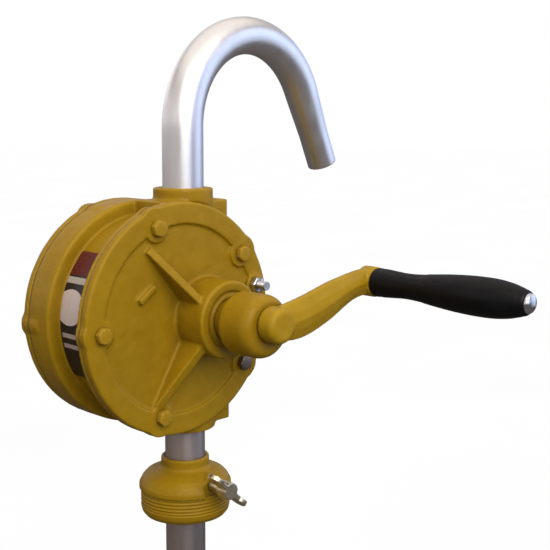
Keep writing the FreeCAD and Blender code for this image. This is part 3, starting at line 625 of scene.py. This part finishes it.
def sticker_material():
    """Plain blocks of colour: a maroon band, an off-white disc and two bars on black."""
    s = Surface("sticker_print")
    uv = s.new("ShaderNodeUVMap", uv_map="UVMap")
    split = s.new("ShaderNodeSeparateXYZ")
    s.link(uv.outputs["UV"], split.inputs["Vector"])
    u, v = split.outputs["X"], split.outputs["Y"]

    def band(source, low, high):
        return s.math("MULTIPLY", s.math("GREATER_THAN", source, low), s.math("LESS_THAN", source, high))

    def squared(source, middle, size):
        away = s.math("MULTIPLY", s.math("SUBTRACT", source, middle), size)
        return s.math("MULTIPLY", away, away)

    colour = s.mix(s.math("GREATER_THAN", v, MAROON_FROM), (0.012, 0.009, 0.010), (0.105, 0.010, 0.013))
    colour = s.mix(band(v, *PALE_STRIP), colour, (0.46, 0.41, 0.36))
    for low in BARS_FROM:
        bar = s.math("MULTIPLY", band(v, low, low + BAR_H), band(u, *BARS_ACROSS))
        colour = s.mix(bar, colour, (0.42, 0.35, 0.33))
    from_disc = [squared(w, at, size) for w, at, size in zip((u, v), DISC_AT, STICKER_SIZE)]
    away = s.math("SQRT", s.math("ADD", *from_disc))
    colour = s.mix(s.math("LESS_THAN", away, DISC_R), colour, (0.62, 0.52, 0.49))
    colour = s.over(colour, (0.30, 0.26, 0.22), s.ramp(s.noise(260.0, 5.0, 0.7), 0.60, 0.70), 0.35)
    s.set(Base_Color=colour, Roughness=s.ramp(s.noise(90.0, 4.0), 0.3, 0.7, 0.26, 0.42))
    s.bump([(s.noise(70.0, 3.0), 0.15, 0.6), (s.noise(700.0, 3.0), 0.08, 0.2)])
    return s.material


def sticker():
    """A thin sheet round the barrel, a little uneven, with its corners cut back."""
    rows, cols = 61, 13
    corner_from, corner_cut, waviness = 0.955, 0.10, 0.2
    lo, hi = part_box("label_sticker")
    case_lo, case_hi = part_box("rear_gasket")
    cx = (case_lo.x + case_hi.x) / 2
    cz = joints["crank_turn"]["pos_m"][2]
    co = points("label_sticker")
    r = float(np.hypot(co[:, 0] - cx, co[:, 2] - cz).max())
    angle = np.unwrap(np.arctan2(co[:, 2] - cz, co[:, 0] - cx) % (2 * math.pi))
    a0, a1 = float(angle.min()), float(angle.max())
    verts, uvs = [], []
    for depth in (0.0, STICKER_THICK):
        for i in range(rows):
            for j in range(cols):
                s, t = i / (rows - 1), j / (cols - 1)
                corner = max(0.0, abs(s - 0.5) * 2 - corner_from) / (1 - corner_from)
                y = lo.y + (hi.y - lo.y) * (0.5 + (t - 0.5) * (1 - corner_cut * corner * corner))
                a = a1 + (a0 - a1) * s
                lift = STICKER_THICK * waviness * math.sin(9.0 * s) * math.sin(5.0 * t)
                d = r + STICKER_PROUD + lift - depth
                verts.append((cx + d * math.cos(a), y, cz + d * math.sin(a)))
                uvs.append((t, s))
    faces = []
    below = rows * cols
    for i in range(rows - 1):
        for j in range(cols - 1):
            a = i * cols + j
            q = (a, a + cols, a + cols + 1, a + 1)
            faces += [q, tuple(k + below for k in q[::-1])]
    rim = list(range(cols)) + [i * cols + cols - 1 for i in range(1, rows)]
    rim += [(rows - 1) * cols + j for j in range(cols - 2, -1, -1)]
    rim += [i * cols for i in range(rows - 2, 0, -1)]
    for a, b in zip(rim, rim[1:] + rim[:1]):
        faces.append((a, b, b + below, a + below))
    mesh = bpy.data.meshes.new("side_sticker")
    mesh.from_pydata(verts, [], faces)
    layer = mesh.uv_layers.new(name="UVMap")
    for loop in mesh.loops:
        layer.data[loop.index].uv = uvs[loop.vertex_index]
    finish_mesh("side_sticker", mesh, "pump", "label_sticker", [sticker_material()], 60.0)


sticker()


# ---------------------------------------------------------------- spout and tubes
BEND_TAPER = 0.47                 # share of the spout's taper that lies in its bend
SPOUT_WALL = 2.2 * MM
SPOUT_FOOT_GAP = 0.15 * MM        # clear of the screw the spout stands on
TUBE_SEGMENTS = 96


def bend_of_spout(flat, leg_r, bend_r, top_z):
    """The bend's angle and radius, the straight run after it, and the height it starts at."""
    tip = mounts["hose_end"]
    bend = math.acos(tip["axis"][2])
    reach = Vector(tip["pos_m"]).dot(flat)
    r_top = leg_r + (bend_r - leg_r) * math.pi / 2 / bend

    def solve(radius):
        run = (reach - radius * (1 - math.cos(bend))) / math.sin(bend)
        start = tip["pos_m"][2] - radius * math.sin(bend) - run * math.cos(bend)
        return run, start, start + radius + r_top

    a, b = 30 * MM, 75 * MM
    for _ in range(60):
        mid = (a + b) / 2
        if (solve(mid)[2] - top_z) * (solve(a)[2] - top_z) > 0:
            a = mid
        else:
            b = mid
    radius = (a + b) / 2
    run, start, _ = solve(radius)
    return bend, radius, run, start


def spout():
    """Bent tube: plain leg, tapering bend, straight taper and a cylindrical hose end."""
    leg_rows, bend_rows, taper_rows = 14, 72, 10
    edge, ease, flattened = 0.35 * MM, 0.08 * MM, 0.15 * MM
    low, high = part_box("spout")
    tip = mounts["hose_end"]
    axis = Vector(tip["axis"])
    half_tip = tip["dims"]["length_mm"] * MM / 2
    tip_r = tip["dims"]["r_mm"] * MM
    leg_r = radius_of("suction_tube_upper")
    bend_r = leg_r - (leg_r - tip_r) * BEND_TAPER
    flat = Vector((axis.x, axis.y, 0)).normalized()
    bend, radius, run, start = bend_of_spout(flat, leg_r, bend_r, high.z)
    stations = [low.z + SPOUT_FOOT_GAP] + list(np.linspace(low.z + 1 * MM, start, leg_rows))
    path = [(Vector((0, 0, z)), UP, leg_r) for z in stations]
    for i in range(1, bend_rows + 1):
        t = bend * i / bend_rows
        centre = flat * radius * (1 - math.cos(t)) + UP * (start + radius * math.sin(t))
        tangent = flat * math.sin(t) + UP * math.cos(t)
        r = leg_r + (bend_r - leg_r) * t / bend - flattened * math.sin(math.pi * i / bend_rows)
        path.append((centre, tangent, r))
    end = path[-1][0]
    straight = run - half_tip
    for s in np.linspace(0, 1, taper_rows)[1:]:
        path.append((end + axis * straight * s, axis, bend_r + (tip_r - bend_r) * s))
    stop = path[-1][0]
    for s in (0.02, 0.06, 0.3, 0.6, 0.9, 0.97, 0.99, 1.0):
        r = tip_r - {1.0: edge, 0.99: ease}.get(s, 0.0)
        path.append((stop + axis * 2 * half_tip * s, axis, r))
    side = flat.cross(UP)
    verts = []
    for rows, wall in ((path, 0.0), (path[::-1], SPOUT_WALL)):
        for centre, tangent, r in rows:
            u = tangent.cross(side)
            verts += [centre + (u * math.cos(a) + side * math.sin(a)) * (r - wall)
                      for a in turns(TUBE_SEGMENTS)]
    mesh = mesh_from("bent_spout", verts, grid_faces(2 * len(path), TUBE_SEGMENTS, True))
    finish_mesh("bent_spout", mesh, "spout", "spout", [aluminium], 40.0)


def pipe(name, node, body, material, edge):
    """Straight tube with softened ends, sized from its CAD node."""
    low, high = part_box(node)
    r_out, r_in = radius_of(node), radius_of(node, inner=True)
    profile = rounded([(r_in, low.z), (r_out, low.z), (r_out, high.z), (r_in, high.z)], edge)
    mesh = mesh_from(name, *lathe(profile, CENTRE, UP, TUBE_SEGMENTS))
    finish_mesh(name, mesh, body, node, [material], 40.0)


spout()
pipe("outer_suction_tube", "suction_tube_upper", "pump", tube_steel, 0.5 * MM)
pipe("inner_suction_tube", "suction_tube_lower", "lower_tube", inner_tube, 0.4 * MM)


# ---------------------------------------------------------------- crank grip
RIVET_R, RIVET_HEAD_R, RIVET_BACK_R = 3.96 * MM, 6.15 * MM, 5.5 * MM
AXIS_GAP = 0.05 * MM              # outlines stop just short of the axis they turn about


def grip():
    """Moulded grip turned from the outline of its CAD node, with two shallow mould rings."""
    coarse_rows, fine_rows, smoothing, reach = 60, 160, 9, 2.2 * MM
    rings = ((0.955, 0.25 * MM), (0.03, 0.15 * MM))      # place along the grip, depth
    ring_width = 0.006
    edge_in, edge_out, edge_step = 1.2 * MM, 0.4 * MM, 0.25 * MM
    pivot = joints["grip_spin"]["pos_m"]
    co = points("crank_grip")
    r = np.hypot(co[:, 0] - pivot[0], co[:, 2] - pivot[2])
    low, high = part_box("crank_grip")
    length = high.y - low.y
    stations = np.linspace(low.y, high.y, coarse_rows)
    near = [np.abs(co[:, 1] - y) < reach for y in stations]
    outline = np.array([float(r[n].max()) if n.any() else np.nan for n in near])
    keep = ~np.isnan(outline)
    fine = np.linspace(0.0, 1.0, fine_rows)
    fine_r = np.interp(fine, (stations[keep] - low.y) / length, outline[keep])
    kernel = np.hanning(smoothing) / np.hanning(smoothing).sum()
    fine_r = np.convolve(np.pad(fine_r, smoothing // 2, mode="edge"), kernel, "valid")
    bore = float(r.min())
    profile = []
    for t, rr in zip(fine, fine_r):
        dip = sum(depth * math.exp(-((t - at) / ring_width) ** 2) for at, depth in rings)
        profile.append((rr - dip, low.y + t * length))
    first, last = profile[0][0], profile[-1][0]
    front = [(bore, low.y), (first - edge_in, low.y), (first - edge_out, low.y + edge_step)]
    back = [(last - edge_out, high.y - edge_step), (last - edge_in, high.y), (bore, high.y)]
    shape = lathe(front + profile[2:-2] + back, (pivot[0], 0, pivot[2]), -OUT, 96)
    mesh = mesh_from("moulded_grip", *shape)
    finish_mesh("moulded_grip", mesh, "grip", "crank_grip", [grip_material()], 50.0)


def spindle():
    """Riveted spindle: rod, back rivet and the bright domed head at the free end."""
    dome_steps = 10
    pivot = joints["grip_spin"]["pos_m"]
    low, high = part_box("grip_spindle")
    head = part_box("crank_grip")[0].y - 0.1 * MM
    reach = head - low.y
    profile = [(AXIS_GAP, low.y)]
    for k in range(1, dome_steps):
        a = math.pi / 2 * k / dome_steps
        profile.append((RIVET_HEAD_R * math.sin(a), head - reach * math.cos(a) ** 0.9))
    profile += [(RIVET_HEAD_R, head), (RIVET_R, head + 0.02 * MM), (RIVET_R, high.y - 1.4 * MM),
                (RIVET_BACK_R, high.y - 1.35 * MM), (RIVET_BACK_R - 0.1 * MM, high.y - 0.6 * MM),
                (RIVET_BACK_R - 1.3 * MM, high.y - 0.05 * MM), (AXIS_GAP, high.y)]
    shape = lathe(profile, (pivot[0], 0, pivot[2]), -OUT, 64)
    mesh = mesh_from("grip_rivet", *shape)
    finish_mesh("grip_rivet", mesh, "crank", "grip_spindle", [zinc], 40.0)


grip()
spindle()


# ---------------------------------------------------------------- clamp screw
casting("wing_screw_casting", "thumb_screw", "thumb_screw", brass,
        voxel=0.35, passes=4, lump=0.05)


# ---------------------------------------------------------------- carried CAD nodes
for node, material in {
    "front_gasket": gasket, "rear_gasket": gasket, "front_bush": bronze, "rear_bush": bronze,
    "packing_rings": packing, "rotor_shaft": machined, "rotor_key": machined, "rotor": iron,
    "vane_1": carbon, "vane_2": carbon, "vane_3": carbon, "vane_4": carbon, "crank_pin": machined,
    "spout_seal": rubber, "spout_retaining_screw": zinc, "tube_guide_bush": bronze,
    "tube_piston_sleeve": bronze, "foot_strainer": plastic, "adapter_seal": rubber, "clamp_pad": brass,
}.items():
    nodes[node].data.materials.clear()
    nodes[node].data.materials.append(material)


# ---------------------------------------------------------------- floor, light, camera
def floor():
    """Large pale disc with a soft mottle, just under the foot of the tube drawn all the way out."""
    rings, segments, first_r, growth, gap = 24, 96, 0.05, 1.33, 0.5 * MM
    low, high = joints["tube_extend"]["range_m"]
    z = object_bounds()[0].z - (high - low) - gap
    verts = [(0, 0, z)]
    for i in range(1, rings + 1):
        r = first_r * growth ** i
        verts += [(r * math.cos(a), r * math.sin(a), z) for a in turns(segments)]
    faces = [(0, 1 + j, 1 + (j + 1) % segments) for j in range(segments)]
    for i in range(rings - 1):
        a, b = 1 + i * segments, 1 + (i + 1) * segments
        for j in range(segments):
            k = (j + 1) % segments
            faces.append((a + j, b + j, b + k, a + k))
    mesh = bpy.data.meshes.new("studio_floor")
    mesh.from_pydata(verts, [], faces)
    s = Surface("studio_floor")
    unlit = s.ramp(s.noise(3.0, 3.0), 0.3, 0.7)
    s.set(Base_Color=s.mix(unlit, (0.10, 0.09, 0.085), (0.075, 0.07, 0.065)), Roughness=0.9)
    seen = s.new("ShaderNodeEmission")
    pale = s.ramp(s.noise(1.5, 3.0), 0.3, 0.7)
    s.link(s.mix(pale, (1.0, 1.0, 1.0), (0.985, 0.985, 0.985)), seen.inputs["Color"])
    s.swap_for_camera(s.bsdf.outputs["BSDF"], seen.outputs["Emission"], "Material Output")
    mesh.materials.append(s.material)
    obj = bpy.data.objects.new("studio_floor", mesh)
    bpy.context.scene.collection.objects.link(obj)


LIGHT_TARGET = Vector((0, 0, 0.10))
AREA_LIGHTS = {
    # place, width and height, watts, colour
    "key_top": ((-0.45, -1.05, 0.85), (1.3, 1.1), 16.0, (1.0, 0.965, 0.90)),
    "side_right": ((1.05, -0.75, 0.40), (1.0, 1.2), 3.0, (0.66, 0.78, 1.0)),
    "behind": ((0.35, 1.10, 0.75), (1.2, 0.7), 0.8, (0.95, 0.97, 1.0)),
}
# The room's walls by place from the camera's left (0) to its right (1). Over them lie rows that come in
# as a direction's height goes from the first number to the second.
WALLS = [(0.0, (1.05, 0.98, 0.97)), (0.22, (1.15, 1.07, 1.02)), (0.42, (0.60, 0.55, 0.54)),
         (0.58, (0.42, 0.48, 0.62)), (0.74, (0.72, 0.86, 1.30)), (0.90, (0.72, 0.84, 1.30)),
         (1.0, (0.45, 0.52, 0.78))]
ROWS = [(0.34, 0.50, (0.42, 0.37, 0.33)), (0.58, 0.76, (1.30, 1.20, 1.10)),
        (0.00, -0.12, (0.05, 0.045, 0.05))]
ROOM_STRENGTH = 0.75


def area_light(name, place, size, power, colour):
    data = bpy.data.lights.new(name, "AREA")
    data.shape = "RECTANGLE"
    data.size, data.size_y = size
    data.energy = power
    data.color = colour
    obj = bpy.data.objects.new(name, data)
    bpy.context.scene.collection.objects.link(obj)
    obj.location = place
    obj.rotation_mode = "QUATERNION"
    obj.rotation_quaternion = (LIGHT_TARGET - Vector(place)).to_track_quat("-Z", "Y")


def room():
    """White to the camera. To the pump, a warm ceiling, a cool window on the right and a dark floor."""
    world = bpy.data.worlds.new("studio_world")
    bpy.context.scene.world = world
    world.use_nodes = True
    w = Nodes(world.node_tree)
    way = w.new("ShaderNodeTexCoord").outputs["Generated"]
    split = w.new("ShaderNodeSeparateXYZ")
    w.link(way, split.inputs["Vector"])
    across = w.new("ShaderNodeVectorMath", operation="DOT_PRODUCT")
    w.link(way, across.inputs[0])
    across.inputs[1].default_value = (math.cos(VIEW_YAW), math.sin(VIEW_YAW), 0.0)
    walls = w.new("ShaderNodeValToRGB")
    walls.color_ramp.interpolation = "EASE"
    bar = walls.color_ramp.elements
    for element, (place, colour) in zip((bar[0], bar[1]), (WALLS[0], WALLS[-1])):
        element.position, element.color = place, (*colour, 1.0)
    for place, colour in WALLS[1:-1]:
        bar.new(place).color = (*colour, 1.0)
    w.link(w.ramp(across.outputs["Value"], -1.0, 1.0), walls.inputs["Fac"])
    seen = walls.outputs["Color"]
    for low, high, colour in ROWS:
        seen = w.mix(w.ramp(split.outputs["Z"], low, high), seen, colour)
    lamp = w.new("ShaderNodeBackground")
    w.feed(lamp.inputs["Color"], seen)
    w.feed(lamp.inputs["Strength"], ROOM_STRENGTH)
    white = w.tree.nodes["Background"]
    w.feed(white.inputs["Color"], (1.0, 1.0, 1.0))
    w.swap_for_camera(lamp.outputs["Background"], white.outputs["Background"], "World Output")


CAMERA_PITCH, CAMERA_ROLL = math.radians(8.37), math.radians(0.31)
CAMERA_XY, CAMERA_ABOVE_SHAFT = (-0.4194, -0.4950), 0.1192
LENS, SENSOR = 65.15, 36.0


def camera():
    """Three-quarter view from the left of the crank, a little above it."""
    level = Vector((math.sin(VIEW_YAW), -math.cos(VIEW_YAW), 0))
    back = level * math.cos(CAMERA_PITCH) + UP * math.sin(CAMERA_PITCH)
    right = Vector((math.cos(VIEW_YAW), math.sin(VIEW_YAW), 0))
    turn = Matrix((right, back.cross(right), back)).transposed() @ Matrix.Rotation(CAMERA_ROLL, 3, "Z")
    data = bpy.data.cameras.new("photo_camera")
    data.lens, data.sensor_width = LENS, SENSOR
    data.clip_start, data.clip_end = 0.02, 200.0
    obj = bpy.data.objects.new("photo_camera", data)
    bpy.context.scene.collection.objects.link(obj)
    shaft_z = joints["crank_turn"]["pos_m"][2]
    obj.matrix_world = Matrix.Translation((*CAMERA_XY, shaft_z + CAMERA_ABOVE_SHAFT)) @ turn.to_4x4()
    bpy.context.scene.camera = obj


floor()
room()
for light_name, settings in AREA_LIGHTS.items():
    area_light(light_name, *settings)
camera()
bpy.context.scene.view_settings.view_transform = "Standard"
